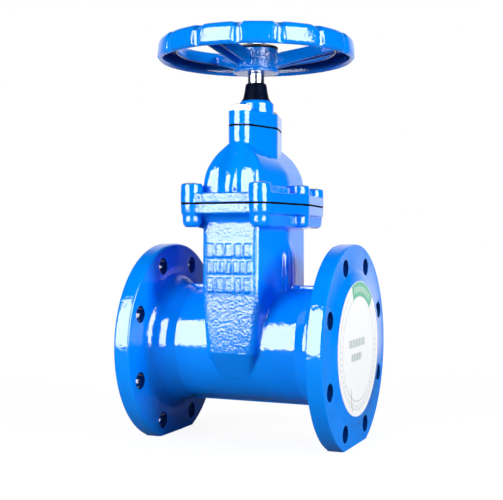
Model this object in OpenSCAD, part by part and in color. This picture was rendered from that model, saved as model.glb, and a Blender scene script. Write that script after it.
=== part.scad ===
// Gate valve with two flanged ends, a wedge gate and a non-rising stem.
// The pipe runs along X, the stem along Z. The origin is on the floor, midway between the two feet
// and under the stem.

/* [Pipe ends] */
// Diameter of the clear port
port_d = 100; // [60:1:110]
// Length over the two raised faces
face_to_face = 230; // [210:1:300]
// Outer diameter of an end flange
flange_d = 215; // [210:1:240]
// Thickness of an end flange, without the raised face
flange_t = 17; // [12:0.5:24]
// Diameter of the raised face
raised_d = 155; // [145:1:158]
// Height of the raised face
raised_h = 3; // [1:0.5:4]
// Diameter of the circle through the flange holes
hole_circle_d = 180; // [178:1:184]
// Diameter of one flange hole
hole_d = 18; // [14:0.5:20]
// Number of flange holes
hole_count = 8; // [4:4:12]
// Depth of the flat foot cut off under each end flange
foot_cut = 7.5; // [5:0.5:10]
// Width of the mould's parting ridge
ridge_w = 9; // [3:0.5:12]
// Height of the ridge on top of the pipe
ridge_h = 4.4; // [2:0.2:6]
// Wall of the pipe between the chamber and the flanges
pipe_wall = 9.5; // [7:0.5:12]

/* [Chamber] */
// Half width of the chamber at the side
side_w = 37.7; // [36:0.1:40]
// Half width of the chamber over the guide housings
belly_w = 41.9; // [40:0.1:46]
// Half width of a guide housing along Y
guide_y = 16.5; // [12:0.5:20]
// Half width of the flat front
front_w = 31.8; // [28:0.2:34]
// Distance of the flat front from the stem axis
front_y = 69; // [66:0.5:74]
// Wall of the chamber
chamber_wall = 9; // [7:0.5:10]

/* [Body and bonnet joint] */
// Height of the gasket's underside over the pipe axis
joint_rise = 148; // [140:1:180]
// Thickness of the gasket
gasket_t = 0.8; // [0.5:0.1:2]
// Thickness of each of the two joint flanges
joint_flange_t = 10.2; // [8:0.2:14]
// Distance of a corner screw from the stem axis along X
screw_x = 37.4; // [34:0.2:40]
// Distance of a corner screw from the stem axis along Y
screw_y = 79; // [76:0.5:82]
// Distance of a side screw from the stem axis
screw_side_x = 49; // [46:0.5:52]
// Outer radius of a screw boss
boss_r = 11.5; // [11:0.1:13]
// Height of a boss over the bonnet flange
boss_up = 9.8; // [8:0.2:14]
// Depth of a boss under the body flange
boss_down = 13.3; // [11:0.1:16]
// Diameter of a joint screw
screw_d = 12; // [8:1:12]

/* [Bonnet] */
// Height of the dome over its flange
dome_h = 53; // [48:0.5:60]
// Width of the rib up the front and the back of the dome
rib_w = 20; // [16:1:24]
// How far the rib stands out of the dome at its foot
rib_out = 8; // [4:0.5:9]
// Height of the whole bonnet
bonnet_h = 80.8; // [76:0.2:96]
// Distance of a gland bolt from the stem axis
ear_y = 37.5; // [36:0.5:42]
// Radius of an ear
ear_r = 14; // [12:0.5:15]
// Radius of the middle of the neck
neck_r = 24; // [22:0.5:26]
// Wall of the dome
dome_wall = 9; // [7:0.5:10]

/* [Gland] */
// Thickness of the gland flange
gland_flange_t = 15; // [12:0.5:18]
// Height of the gland barrel over its flange
barrel_h = 17; // [14:0.5:22]
// Outer radius of the gland barrel
barrel_r = 19; // [17:0.5:21]
// Diameter of a gland bolt
gland_bolt_d = 10; // [8:1:12]
// Height of the dust cap
cap_h = 17; // [14:0.5:20]

/* [Stem and wheel] */
// Diameter of the stem over the gland
stem_d = 18; // [16:0.5:20]
// Diameter of the threaded part of the stem
thread_d = 22; // [20:0.5:24]
// Running clearance around the stem
stem_gap = 0.05; // [0.02:0.01:0.1]
// Outer diameter of the handwheel
wheel_d = 211; // [180:1:260]
// Height of the top of the rim over the hub's underside
rim_rise = 36.3; // [32:0.1:44]
// Height of the rim
rim_h = 22; // [18:0.5:26]
// Width of the rim
rim_w = 22.5; // [20:0.5:26]
// Wall of the rim
rim_wall = 3.8; // [3:0.2:5]
// Thickness of the rim's outer lip
rim_lip = 6.6; // [4:0.2:8]
// Number of grip grooves around the rim
groove_count = 15; // [9:1:24]
// Depth of a grip groove
groove_depth = 2.4; // [1:0.2:3]
// Number of spokes
spoke_count = 3; // [3:1:6]
// Width of a spoke
spoke_w = 18; // [14:1:22]
// Height of the hub's underside over the gland barrel
hub_gap = 27.3; // [24:0.1:34]
// Height of the hub
hub_h = 25; // [22:0.5:28]
// Radius of the hub
hub_r = 23.4; // [20:0.1:26]

/* [Hidden] */
$fn = 64;

blue = [0.0, 0.31, 0.78];
zinc = [0.72, 0.74, 0.76];
black = [0.07, 0.07, 0.08];
eps = 0.01;

half_len = face_to_face / 2;
axis_h = flange_d / 2 - foot_cut;              // height of the pipe axis over the floor
joint_z = axis_h + joint_rise;
shoulder_z = axis_h + port_d / 2;              // height of the port's top
flange_x = half_len - raised_h - flange_t;     // inboard side of a flange
pipe_r = port_d / 2 + pipe_wall;
hub_len = 28.7;                                // length of the thicker pipe behind a flange
hub_step = 3.6;                                // how much thicker it is
seat_gap = 0.3;                                // gap of a piece that is let in
bonnet_z = joint_z + gasket_t;                 // underside of the bonnet
bonnet_flange_top = bonnet_z + joint_flange_t;
boss_top = bonnet_flange_top + boss_up;
boss_bottom = joint_z - joint_flange_t - boss_down;
dome_top = bonnet_flange_top + dome_h;
neck_top_z = bonnet_z + bonnet_h;
gland_z = neck_top_z + gasket_t;               // underside of the gland cover
gland_flange_top = gland_z + gland_flange_t;
barrel_top = gland_flange_top + barrel_h;
hub_z = barrel_top + hub_gap;
rim_top_z = hub_z + rim_rise;
collar_h = 9.4;                                // thrust collar of the stem
collar_r = thread_d / 2 + 5;
wheel_r = wheel_d / 2;
hub_top = hub_z + hub_h;
square_w = 13;                                 // square of the stem in the hub
washer_h = 3;
wheel_turn = -102;                             // rest angle of the first spoke
wedge_face_w = 21;                             // half thickness of the wedge at the pipe axis
wedge_slope = 1.5;                             // lean of a wedge face, in degrees
pocket_w = wedge_face_w + 60 * tan(wedge_slope) + seat_gap;   // half width of the wedge's pocket
wedge_top = axis_h + port_d / 2 + 8;
nut_h = 20;

// Places of the six joint screws
screw_places = [[screw_x, -screw_y], [screw_side_x, 0], [screw_x, screw_y],
    [-screw_x, screw_y], [-screw_side_x, 0], [-screw_x, -screw_y]];

// ---- shared outlines ----

// A closed outline whose corners are rounded off over the length t, with n points each
function soft(pts, t, n = 5) = [for (i = [0:len(pts) - 1])
    let (p = pts[i], a = pts[(i + len(pts) - 1) % len(pts)], b = pts[(i + 1) % len(pts)],
        ta = min(t, 0.48 * norm(a - p)), tb = min(t, 0.48 * norm(b - p)),
        u = p + (a - p) * ta / norm(a - p), v = p + (b - p) * tb / norm(b - p))
    for (k = [0:n - 1]) let (s = k / (n - 1)) (1 - s) * (1 - s) * u + 2 * s * (1 - s) * p + s * s * v];

// Outline of the chamber and the dome seen from above: a hexagon with a flat front and back
function hexagon(side, front, depth) = [[side, 0], [front, depth], [-front, depth],
    [-side, 0], [-front, -depth], [front, -depth]];

// A solid through rings of equal point counts, each ring being [z, outline]
module loft(rings) {
    n = len(rings[0][1]);
    m = len(rings);
    polyhedron(
        points = [for (r = rings) for (p = r[1]) [p[0], p[1], r[0]]],
        faces = concat(
            [[for (i = [0:n - 1]) i]],
            [[for (i = [n - 1:-1:0]) (m - 1) * n + i]],
            [for (j = [0:m - 2]) for (i = [0:n - 1])
                [j * n + i, (j + 1) * n + i, (j + 1) * n + (i + 1) % n, j * n + (i + 1) % n]]));
}

module along_x() rotate([90, 0, 90]) children();

module joint_plate(z, h) translate([0, 0, z]) linear_extrude(h)
    polygon(soft(hexagon(screw_side_x + boss_r, screw_x + 6, screw_y + boss_r - 3), 24, 6));

module at_screws() for (p = screw_places) translate([p[0], p[1], 0]) children();

// Lozenge of the neck and the gland flange: two ears joined to the middle by tangents
module lozenge() {
    lean = asin((neck_r - ear_r) / ear_y);
    function on_circle(r, y) = [(r - 0.05) * cos(lean), y + (r - 0.05) * sin(lean)];
    m = on_circle(neck_r, 0);
    e = on_circle(ear_r, ear_y);
    circle(neck_r);
    for (s = [-1, 1]) translate([0, s * ear_y]) circle(ear_r);
    polygon([m, e, [-e[0], e[1]], [-m[0], m[1]], -m, -e, [e[0], -e[1]], [m[0], -m[1]]]);
}

// ---- body ----

module end_flange() along_x() rotate_extrude($fn = 128) polygon([[0, 40], [pipe_r, 40],
    [pipe_r, flange_x - hub_len], [pipe_r + hub_step, flange_x - hub_len * 0.66],
    [pipe_r + hub_step + 0.4, flange_x - hub_len * 0.55], [pipe_r + hub_step + 1.4, flange_x - hub_len * 0.4],
    [pipe_r + hub_step + 3.6, flange_x - hub_len * 0.22], [pipe_r + hub_step + 6.6, flange_x - hub_len * 0.09],
    [pipe_r + hub_step + 10.5, flange_x], [flange_d / 2 - 1, flange_x], [flange_d / 2, flange_x + 1],
    [flange_d / 2, half_len - raised_h - 1], [flange_d / 2 - 1, half_len - raised_h],
    [raised_d / 2, half_len - raised_h], [raised_d / 2, half_len], [0, half_len]]);

module flange_holes() for (i = [0:hole_count - 1]) rotate([360 / hole_count * (i + 0.5), 0, 0])
    translate([0, 0, hole_circle_d / 2]) rotate([0, 90, 0])
        translate([0, 0, flange_x - 1]) cylinder(d = hole_d, h = flange_t + 2);

// Rings of the chamber: height, half width at the side, half width and depth of the front
chamber_rings = [[axis_h - 30, 34, 18.2, 52], [axis_h - 4, side_w, front_w - 5.8, front_y],
    [shoulder_z, side_w, front_w, front_y], [joint_z - 18, side_w, front_w - 0.5, front_y],
    [joint_z - 13, side_w + 1.7, front_w + 1, front_y + 3],
    [joint_z - 10, side_w + 6.7, front_w + 5, front_y + 9]];

module chamber_outside() loft([for (r = chamber_rings)
    [r[0], soft(hexagon(r[1], r[2], r[3]), 7)]]);

// Housings of the wedge's guides: a flat bulge up each side of the chamber, rounded off at the top,
// with the mould's parting ridge up its middle
guide_rings = [[0, 1, 1], [0.62, 1, 1], [0.78, 0.85, 0.9], [0.91, 0.45, 0.62], [1, 0.03, 0.25]];

module guide_bulge(half, out) {
    foot = shoulder_z - 10;
    loft([for (r = guide_rings)
        let (x = side_w - 2 + (belly_w - side_w + 2) * r[1] + out, y = out > 0 ? half : half * r[2])
        [foot + (joint_z - 36 - foot) * r[0], soft([[x, y], [-x, y], [-x, -y], [x, -y]], out > 0 ? 1 : 6)]]);
}

module guide_housings() {
    guide_bulge(guide_y, 0);
    guide_bulge(1.6, 0.9);
}

module chamber_inside() {
    w = chamber_wall;
    loft([for (z = [wedge_top - 0.5, joint_z - 18])
        [z, soft(hexagon(side_w - w, front_w - 0.5 - w / 2, front_y - w), 12)]]);
    translate([0, 0, joint_z - 19]) linear_extrude(30) throat();
}

// Inner outline of the chamber where it meets the bonnet
module throat() polygon(soft(hexagon(side_w - chamber_wall, front_w - 1 - chamber_wall / 2,
    front_y - chamber_wall), 12));

// Skirt that joins the lower bosses on both sides of the pipe and runs out into the chamber
module boss_skirt() {
    web = soft(hexagon(screw_side_x - 3, screw_x + 3.5, front_y - 3), 10);
    loft([[boss_bottom - 2, soft(hexagon(side_w - 1, front_w - 1.5, front_y - 4), 10)],
        [boss_bottom, web], [joint_z - joint_flange_t + 0.5, web]]);
}

// Outline across the pipe of the wedge and of its pocket, over its width w along the pipe
module wedge_blank(w, grow = 0) {
    r = port_d / 2 + 1.5 + grow;
    side = port_d / 2 + 7 + grow;
    translate([0, 0, axis_h]) along_x() translate([0, 0, -w]) linear_extrude(2 * w)
        polygon(concat([for (a = [180:6:360]) [side * cos(a), r * sin(a)]],
            [[side, wedge_top - axis_h + grow], [-side, wedge_top - axis_h + grow]]));
}

// The wedge with its two leaning faces
module wedge_solid() intersection() {
    wedge_blank(pocket_w);
    translate([0, 0, axis_h]) rotate([90, 0, 0]) translate([0, 0, -80]) linear_extrude(160) {
        t = 60 * tan(wedge_slope);
        w = wedge_face_w;
        polygon([[t - w, -60], [w - t, -60], [w + t, 60], [-w - t, 60]]);
    }
}

// Lower bosses, rounded off at the foot: those in the corners are drafted, those at the sides hardly
module body_bosses() at_screws() translate([0, 0, joint_z]) rotate_extrude() {
    h = joint_z - boss_bottom;
    polygon([[0, 0], [boss_r, 0], [boss_r - 0.6, 0.8 - joint_flange_t], [boss_r - 1.8, 3 - h * 0.6],
        [boss_r - 2, 5 - h], [boss_r - 3.1, 2 - h], [boss_r - 5.2, -h], [0, -h]]);
}

module side_bosses() for (s = [-1, 1]) translate([s * screw_side_x, 0, joint_z]) rotate_extrude() {
    h = joint_z - boss_bottom;
    polygon([[0, 0], [boss_r, 0], [boss_r - 0.2, 4 - h], [boss_r - 1, 1.5 - h], [boss_r - 3, -h], [0, -h]]);
}

// Ridges that the two halves of the mould leave along the pipe, the upper one being higher
module parting_ridges() translate([-flange_x, -ridge_w / 2, axis_h - pipe_r - ridge_h / 2])
    cube([2 * flange_x, ridge_w, 2 * pipe_r + 1.5 * ridge_h]);

module valve_body() color(blue) difference() {
    union() {
        translate([0, 0, axis_h]) {
            end_flange();
            rotate([0, 0, 180]) end_flange();
            along_x() translate([0, 0, -41]) cylinder(r = pipe_r, h = 82);
        }
        chamber_outside();
        guide_housings();
        joint_plate(joint_z - joint_flange_t, joint_flange_t);
        boss_skirt();
        body_bosses();
        side_bosses();
        parting_ridges();
    }
    translate([0, 0, axis_h]) {
        along_x() translate([0, 0, -half_len - 1]) cylinder(d = port_d, h = face_to_face + 2, $fn = 128);
        flange_holes();
        rotate([0, 0, 180]) flange_holes();
    }
    chamber_inside();
    wedge_blank(pocket_w, seat_gap);
    at_screws() translate([0, 0, boss_bottom + 5]) cylinder(d = screw_d + 0.2, h = 60);
    translate([-200, -200, -50]) cube([400, 400, 50]);
}

// ---- bonnet ----

// Rings of the dome: share of its height, half width at the side, half width and depth of the front
dome_rings = [[0, 39, 31.5, 69], [0.19, 38.5, 31.3, 68.8], [0.33, 37.5, 30.8, 68],
    [0.45, 36, 29.9, 66.3], [0.55, 33.5, 28.5, 64.2], [0.69, 27.5, 25.2, 60.5], [0.81, 20.5, 20.5, 57],
    [0.914, 13.5, 14.2, 53.3], [1, 8, 8.5, 50.5]];
dome_foot = 5;                                 // depth of the dome's foot in the flange
dome_steps = 26;                               // rings that the dome is drawn with

// A smooth value between the rows of a table, at x in its first column, in column c
function between(t, x, c) = let (n = len(t),
        i = min(max([for (k = [0:n - 2]) if (t[k][0] <= x) k]), n - 2),
        a = t[max(i - 1, 0)], b = t[i], e = t[i + 1], f = t[min(i + 2, n - 1)],
        u = (x - b[0]) / (e[0] - b[0]),
        mb = (e[c] - a[c]) / max(e[0] - a[0], eps) * (e[0] - b[0]),
        me = (f[c] - b[c]) / max(f[0] - b[0], eps) * (e[0] - b[0]))
    b[c] * (1 - 3 * u * u + 2 * u * u * u) + e[c] * (3 * u * u - 2 * u * u * u)
        + mb * (u - 2 * u * u + u * u * u) + me * (u * u * u - u * u);

function dome_ring(k) = let (x = k / dome_steps) [x, between(dome_rings, x, 1),
    between(dome_rings, x, 2), between(dome_rings, x, 3)];

// Outline of the dome from above, with the rib up its front and its back
function dome_outline(side, front, depth, out) = let (w = min(rib_w / 2, front - 1.5))
    [[side, 0], [front, depth], [w, depth], [w * 0.45, depth + out], [-w * 0.45, depth + out],
    [-w, depth], [-front, depth], [-side, 0], [-front, -depth], [-w, -depth],
    [-w * 0.45, -depth - out], [w * 0.45, -depth - out], [w, -depth], [front, -depth]];

module dome() loft([for (k = [0:dome_steps]) let (r = dome_ring(k))
    [bonnet_flange_top - dome_foot + r[0] * (dome_h + dome_foot),
        soft(dome_outline(r[1], r[2], r[3], rib_out * (1 - 0.8 * r[0])), 7, 4)]]);

module dome_inside(w) loft([for (r = dome_rings)
    [bonnet_flange_top - dome_foot + r[0] * (dome_h + dome_foot - w),
        soft(hexagon(max(r[1] - w, 4), max(r[2] - w * 0.6, 3), r[3] - w), 6)]]);

// Ledge that joins the upper bosses on both sides of the dome
module boss_ledge() translate([0, 0, bonnet_flange_top - 1]) linear_extrude(boss_up - 1.2)
    polygon(soft(hexagon(screw_side_x - 8, screw_x + 4.5, 67.5), 8));

// Upper bosses, with a rounded top edge
module bonnet_bosses() at_screws() translate([0, 0, bonnet_z]) rotate_extrude() {
    h = boss_top - bonnet_z;
    polygon([[0, 0], [boss_r, 0], [boss_r, joint_flange_t], [boss_r - 0.4, h - 2],
        [boss_r - 0.9, h - 0.7], [boss_r - 1.8, h], [0, h]]);
}

module bonnet() color(blue) difference() {
    union() {
        joint_plate(bonnet_z, joint_flange_t);
        dome();
        boss_ledge();
        bonnet_bosses();
        translate([0, 0, dome_top - 20]) linear_extrude(neck_top_z - dome_top + 20) lozenge();
    }
    dome_inside(dome_wall);
    translate([0, 0, bonnet_z - 1]) linear_extrude(joint_flange_t - 2) throat();
    translate([0, 0, bonnet_z]) cylinder(d = thread_d + 2 * stem_gap, h = 100);
    translate([0, 0, neck_top_z - collar_h - 0.3]) cylinder(r = collar_r + 0.3, h = 20);
    at_screws() {
        translate([0, 0, bonnet_z - 1]) cylinder(d = screw_d + 1, h = 40);
        translate([0, 0, boss_top - screw_d - 1]) cylinder(r = screw_d * 0.75 + 0.3, h = 20);
    }
    for (s = [-1, 1]) translate([0, s * ear_y, neck_top_z - 16]) cylinder(d = gland_bolt_d + 0.2, h = 20);
}

module bonnet_gasket() color(black) difference() {
    joint_plate(joint_z, gasket_t);
    translate([0, 0, joint_z - 1]) linear_extrude(4) throat();
    at_screws() translate([0, 0, joint_z - 1]) cylinder(d = screw_d + 1, h = 4);
}

module bonnet_screw(i) translate([screw_places[i - 1][0], screw_places[i - 1][1], 0]) color(zinc)
    difference() {
        union() {
            translate([0, 0, boss_bottom + 6]) cylinder(d = screw_d, h = boss_top - boss_bottom - 12);
            translate([0, 0, boss_top - screw_d - 1]) cylinder(r = screw_d * 0.75, h = screw_d);
        }
        translate([0, 0, boss_top - 7]) cylinder(d = screw_d * 0.96, h = 10, $fn = 6);
    }

// ---- gland ----

module gland_cover() color(blue) difference() {
    union() {
        translate([0, 0, gland_z]) linear_extrude(gland_flange_t) lozenge();
        translate([0, 0, gland_flange_top - 1]) cylinder(r = barrel_r, h = barrel_h - 2);
        translate([0, 0, barrel_top - 3]) cylinder(r1 = barrel_r, r2 = barrel_r - 3, h = 3);
    }
    translate([0, 0, gland_z - 1]) cylinder(d = stem_d + 2 * stem_gap, h = 60);
    for (s = [-1, 1]) translate([0, s * ear_y, gland_z - 1]) cylinder(d = gland_bolt_d + 1, h = 30);
}

module gland_gasket() color(black) difference() {
    translate([0, 0, neck_top_z]) linear_extrude(gasket_t) lozenge();
    translate([0, 0, neck_top_z - 1]) cylinder(r = collar_r + 0.3, h = 4);
    for (s = [-1, 1]) translate([0, s * ear_y, neck_top_z - 1]) cylinder(d = gland_bolt_d + 1, h = 4);
}

module gland_bolt(side) translate([0, side * ear_y, 0]) color(zinc) {
    translate([0, 0, neck_top_z - 15]) cylinder(d = gland_bolt_d, h = gland_flange_top - neck_top_z + 16);
    translate([0, 0, gland_flange_top]) cylinder(d = gland_bolt_d * 1.96, h = 6.8, $fn = 6);
}

module dust_cap() color(black) translate([0, 0, barrel_top]) difference() {
    rotate_extrude() polygon([[0, 0], [15.3, 0], [15.3, 1.8], [14.4, 2.6], [11.3, cap_h - 2.6],
        [10.6, cap_h - 1], [9.4, cap_h], [0, cap_h]]);
    translate([0, 0, -1]) cylinder(d = stem_d - 0.1, h = 0.5);
    translate([0, 0, -1]) cylinder(r = 9.3, h = 30);
}

// ---- stem and wheel ----

module stem() color(zinc) {
    translate([0, 0, axis_h - port_d / 5]) cylinder(d = thread_d,
        h = neck_top_z - collar_h - axis_h + port_d / 5 + 1);
    translate([0, 0, neck_top_z - collar_h]) cylinder(r = collar_r, h = collar_h + 0.6);
    translate([0, 0, neck_top_z]) cylinder(d = stem_d, h = hub_z - neck_top_z);
    translate([-square_w / 2, -square_w / 2, hub_z - 1]) cube([square_w, square_w, hub_h]);
    translate([0, 0, hub_top - 2]) cylinder(d = 10, h = 14);
}

module rim() rotate_extrude($fn = 128) translate([wheel_r, rim_top_z]) polygon(soft([[-rim_w, -15],
    [-rim_w + 0.5, -5], [-rim_w + 5, 0], [-6.5, 0], [-1.3, -4.5], [0, 5 - rim_h], [-0.5, -rim_h],
    [-rim_lip, -rim_h], [-rim_lip, -8], [-rim_lip - 3, -rim_wall], [-rim_w + rim_wall + 3, -rim_wall],
    [-rim_w + rim_wall, -8], [-rim_w + rim_wall, -15]], 3, 3));

// A spoke: a channel open below, rising from the hub to the rim
module spoke() {
    inner = hub_r - 2;
    outer = wheel_r - rim_w + 2;
    low_in = hub_z + 6;
    low_out = rim_top_z - 14.5;
    high_in = low_in + 14.5;
    high_out = low_out + 11.5;
    wall = 3.5;
    rotate([90, 0, 0]) difference() {
        translate([0, 0, -spoke_w / 2]) linear_extrude(spoke_w)
            polygon([[inner, low_in], [outer, low_out], [outer, high_out], [inner, high_in]]);
        translate([0, 0, wall - spoke_w / 2]) linear_extrude(spoke_w - 2 * wall)
            polygon([[inner, low_in - 1], [outer + 1, low_out - 1], [outer + 1, high_out - wall],
                [inner, high_in - wall]]);
    }
}

module handwheel() color(blue) rotate(wheel_turn) difference() {
    union() {
        rim();
        for (i = [0:spoke_count - 1]) rotate(i * 360 / spoke_count) spoke();
        translate([0, 0, hub_z]) cylinder(r = hub_r, h = hub_h);
        translate([0, 0, hub_z]) cylinder(r = hub_r + 1.2, h = 3);
    }
    rotate(-wheel_turn) translate([-square_w / 2, -square_w / 2, hub_z - 1])
        cube([square_w, square_w, hub_h + 2]);
    for (i = [0:groove_count - 1]) rotate(i * 360 / groove_count) grip_groove();
}

// Cutter of a grip groove: up the outer wall of the rim, then in over its top edge
module grip_groove() {
    r = 7;
    out = r - groove_depth;
    translate([wheel_r + out, 0, rim_top_z - rim_h - 1]) cylinder(r = r, h = rim_h + 2);
    translate([wheel_r - 3.4 + out * 0.5, 0, rim_top_z - 3.4 + out * 0.86]) rotate([0, -60, 0])
        cylinder(r = r, h = 26, center = true);
}

module wheel_washer() color(black) translate([0, 0, hub_top]) difference() {
    cylinder(r = hub_r + 0.1, h = washer_h);
    translate([0, 0, -1]) cylinder(d = 10.6, h = 4);
}

module wheel_nut() color(zinc) translate([0, 0, hub_top + washer_h]) difference() {
    cylinder(d = 19, h = 7, $fn = 6);
    translate([0, 0, -1]) cylinder(d = 10.2, h = 9);
}

// ---- inside ----

module wedge() color(black) difference() {
    wedge_solid();
    translate([0, 0, axis_h - 30]) cylinder(d = thread_d + 4, h = 100);
    translate([-15 - seat_gap, -17 - seat_gap, wedge_top - nut_h]) cube([30.6, 34.6, nut_h + 10]);
}

module wedge_nut() color("goldenrod") difference() {
    translate([-15, -17, wedge_top - nut_h]) cube([30, 34, nut_h]);
    translate([0, 0, wedge_top - nut_h - 1]) cylinder(d = thread_d + 2 * stem_gap, h = nut_h + 2);
}

module port_label() color("white") translate([half_len, 0, axis_h]) rotate([0, 90, 0])
    cylinder(r = 69.5, h = 0.4, $fn = 96);

valve_body();
bonnet();
bonnet_gasket();
gland_cover();
gland_gasket();
dust_cap();
stem();
handwheel();
wheel_washer();
wheel_nut();
gland_bolt(-1);  // gland_bolt_front
gland_bolt(1);  // gland_bolt_back
for (i = [1:6]) bonnet_screw(i);
port_label();
wedge();
wedge_nut();
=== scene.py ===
# %% [markdown]
# # A flanged gate valve with a handwheel
# The real valve is a blue epoxy-coated iron casting with a bolted bonnet, a gland, a bright stem
# and a hollow-rimmed handwheel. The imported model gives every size, so this lesson starts by
# loading it, and each later step adds the finish that the plain solids lack.

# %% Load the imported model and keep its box
import math

import bmesh
import bpy
import numpy as np
from mathutils import Matrix, Vector
from mathutils.bvhtree import BVHTree


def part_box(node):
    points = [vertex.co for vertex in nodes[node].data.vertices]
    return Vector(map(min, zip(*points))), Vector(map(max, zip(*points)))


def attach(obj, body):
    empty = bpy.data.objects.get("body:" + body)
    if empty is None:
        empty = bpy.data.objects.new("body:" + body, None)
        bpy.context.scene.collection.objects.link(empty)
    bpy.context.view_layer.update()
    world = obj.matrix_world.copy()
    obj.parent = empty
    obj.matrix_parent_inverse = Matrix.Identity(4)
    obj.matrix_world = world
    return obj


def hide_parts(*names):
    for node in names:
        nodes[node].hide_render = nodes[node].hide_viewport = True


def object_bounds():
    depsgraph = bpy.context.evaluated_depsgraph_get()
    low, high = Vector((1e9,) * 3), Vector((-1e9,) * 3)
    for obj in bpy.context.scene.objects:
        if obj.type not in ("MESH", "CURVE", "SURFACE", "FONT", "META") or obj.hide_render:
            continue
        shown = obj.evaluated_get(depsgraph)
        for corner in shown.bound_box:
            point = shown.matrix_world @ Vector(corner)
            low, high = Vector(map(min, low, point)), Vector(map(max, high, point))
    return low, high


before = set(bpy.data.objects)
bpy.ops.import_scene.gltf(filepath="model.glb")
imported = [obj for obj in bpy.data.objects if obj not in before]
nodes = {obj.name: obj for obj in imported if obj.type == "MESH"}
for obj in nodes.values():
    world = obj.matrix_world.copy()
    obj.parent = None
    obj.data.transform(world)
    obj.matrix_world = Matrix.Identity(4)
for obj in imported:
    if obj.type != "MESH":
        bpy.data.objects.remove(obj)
cad_low, cad_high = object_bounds()
MM = 0.001
print("the model is", [round(v / MM) for v in cad_high - cad_low], "mm")

# %% [markdown]
# ## Sizes that the pieces share
# Heights and radii are measured on the model's own nodes, so a piece still fits when the valve
# is drawn in another size.

# %% Measure the nodes
body_low, body_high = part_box("valve_body")
pipe_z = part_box("port_label")[0].z / 2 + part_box("port_label")[1].z / 2
flange_r = (body_high.y - body_low.y) / 2
cap_low, cap_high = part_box("dust_cap")
hub_low, rim_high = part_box("handwheel")
washer_low, washer_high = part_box("wheel_washer")
print("pipe axis at", round(pipe_z / MM, 1), "mm, rim top at", round(rim_high.z / MM, 1), "mm")

# %% [markdown]
# ## Camera
# A long lens from a little above the floor shows the front of the chamber and the labelled port,
# so both the casting and the pipe end can be judged in one view.


# %% Set up the camera
def in_scene(name, data):
    """A new object for the data, linked to the scene."""
    made = bpy.data.objects.new(name, data)
    bpy.context.scene.collection.objects.link(made)
    return made


CAMERA_PLACE = Vector((0.4178, -0.9977, 0.2129))
CAMERA_AIM = Vector((-0.00502, 0.0, 0.2008))
CAMERA_ROLL = math.radians(0.086)
SENSOR_WIDTH = 36     # mm
FOCAL_LENGTH = 72.06  # mm
camera_data = bpy.data.cameras.new("camera")
camera_data.sensor_width = SENSOR_WIDTH
camera_data.lens = FOCAL_LENGTH
camera = in_scene("camera", camera_data)
camera.location = CAMERA_PLACE
camera.rotation_mode = "QUATERNION"
turn = (CAMERA_AIM - CAMERA_PLACE).to_track_quat("-Z", "Y").to_matrix()
camera.rotation_quaternion = (turn @ Matrix.Rotation(CAMERA_ROLL, 3, "Z")).to_quaternion()
bpy.context.scene.camera = camera
bpy.context.scene.view_settings.view_transform = "Standard"
print("the camera stands", round((CAMERA_AIM - CAMERA_PLACE).length, 2), "m away")

# %% [markdown]
# ## Shader maths as Python
# A node tree is easier to read as a formula. `Wire` wraps one output socket and adds a Math node
# for each operator, and `Finish` holds one material and makes every other kind of node.


# %% One output socket
class Wire:
    """One output socket, with Python's operators turned into Math nodes."""

    def __init__(self, finish, socket):
        self.finish = finish
        self.socket = socket

    def maths(self, operation, *values):
        return self.finish.node("ShaderNodeMath", {"operation": operation}, dict(enumerate(values)))

    def __add__(self, other):
        return self.maths("ADD", self, other)

    def __sub__(self, other):
        return self.maths("SUBTRACT", self, other)

    def __rsub__(self, other):
        return self.maths("SUBTRACT", other, self)

    def __mul__(self, other):
        return self.maths("MULTIPLY", self, other)

    def __truediv__(self, other):
        return self.maths("DIVIDE", self, other)

    def __pow__(self, other):
        return self.maths("POWER", self, other)

    def __gt__(self, other):
        return self.maths("GREATER_THAN", self, other)

    def __lt__(self, other):
        return self.maths("LESS_THAN", self, other)

    __radd__ = __add__
    __rmul__ = __mul__

    def fade(self, start, end):
        """0 at start, 1 at end, with soft ends."""
        values = {"Value": self, "From Min": start, "From Max": end}
        return self.finish.node("ShaderNodeMapRange", {"interpolation_type": "SMOOTHSTEP"}, values)


# %% One material
class Finish:
    """A material that is being built around one Principled shader."""

    def __init__(self, name, tree=None):
        self.material = None
        if tree is None:
            self.material = bpy.data.materials.new(name)
            self.material.use_nodes = True
            tree = self.material.node_tree
        self.tree = tree
        tree.nodes.clear()

    def node(self, kind, settings=None, values=None, out=0):
        """Makes a node: first its settings, then the values or wires of its sockets."""
        made = self.tree.nodes.new(kind)
        for key, value in (settings or {}).items():
            setattr(made, key, value)
        for key, value in (values or {}).items():
            if isinstance(value, Wire):
                self.tree.links.new(value.socket, made.inputs[key])
            else:
                made.inputs[key].default_value = value
        return Wire(self, made.outputs[out] if made.outputs else None)

    def position(self):
        """Object coordinates, as a vector wire and its three numbers."""
        place = self.node("ShaderNodeTexCoord", out=3)
        parts = [self.node("ShaderNodeSeparateXYZ", {}, {0: place}, out=i) for i in range(3)]
        return place, parts

    def stretched(self, place, scale):
        return self.node("ShaderNodeMapping", {}, {"Vector": place, "Scale": scale})

    def noise(self, place, scale, detail=2.0, roughness=0.5, distortion=0.0):
        values = {"Vector": place, "Scale": scale, "Detail": detail, "Roughness": roughness,
                  "Distortion": distortion}
        return self.node("ShaderNodeTexNoise", {}, values)

    def blend(self, share, first, second):
        """A colour between two others."""
        values = {0: share, 6: first, 7: second}
        return self.node("ShaderNodeMix", {"data_type": "RGBA"}, values, out=2)

    def bump(self, height, distance):
        return self.node("ShaderNodeBump", {}, {"Height": height, "Distance": distance})

    def done(self, **values):
        """Wires the Principled shader to the output and returns the material."""
        named = {key.replace("_", " "): value for key, value in values.items()}
        shader = self.node("ShaderNodeBsdfPrincipled", {}, named)
        self.node("ShaderNodeOutputMaterial", {}, {"Surface": shader})
        return self.material


def colour(red, green, blue):
    return (red, green, blue, 1.0)


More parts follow.
